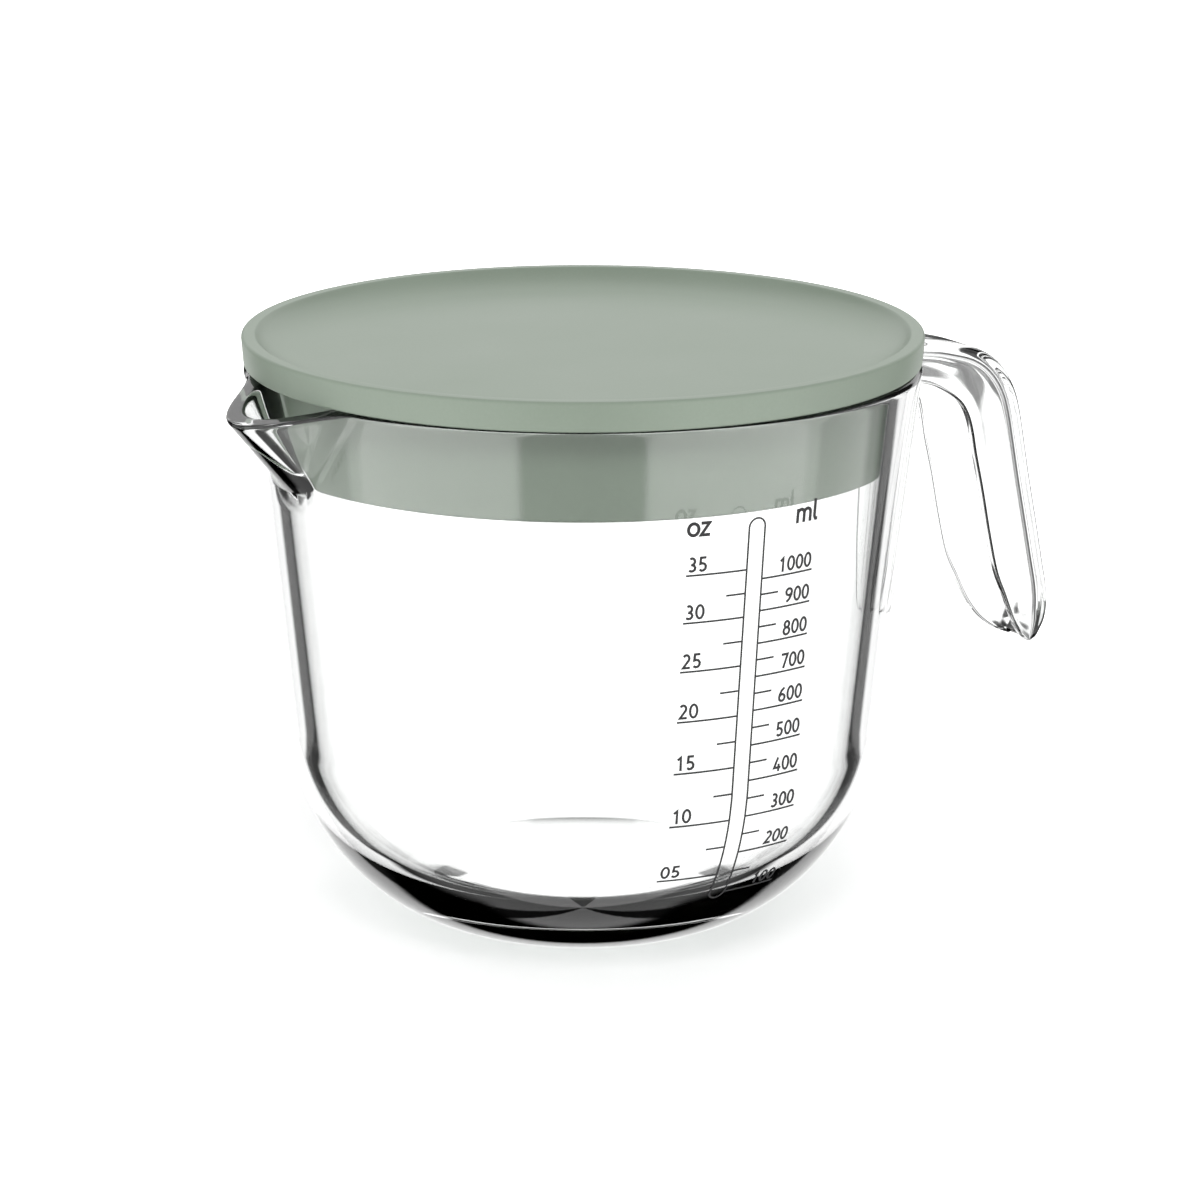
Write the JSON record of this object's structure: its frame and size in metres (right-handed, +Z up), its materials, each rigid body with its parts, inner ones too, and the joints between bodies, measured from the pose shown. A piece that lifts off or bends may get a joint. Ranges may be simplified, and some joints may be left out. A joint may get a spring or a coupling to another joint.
{
  "type": "measuring mixing bowl",
  "caption": "Clear thick-walled mixing and measuring bowl with a pouring spout, a hanging channel handle, a printed volume scale and a push-in lid.",
  "frame": {"origin": "centre of the flat foot, where the bowl stands", "axes": "+X to the handle, -X to the spout, -Y to the printed scale, +Z up"},
  "size_m": [0.2159, 0.1536, 0.137],
  "materials": {
    "clear_plastic": "clear, polished",
    "lid_plastic": "fine matt, sage green",
    "ink": "screen-printed black"
  },
  "bodies": {
    "bowl": {"bowl": "clear_plastic", "handle": "clear_plastic", "scale_tube": "ink", "ml_lines": "ink", "oz_lines": "ink", "ml_numerals": "ink", "oz_numerals": "ink", "unit_labels": "ink"},
    "lid": {"lid": "lid_plastic"}
  },
  "joints": [
    {"name": "lid_lift", "type": "slide", "parent": "bowl", "child": "lid", "axis": [0, 0, 1], "range_m": [0, 0.06]}
  ]
}
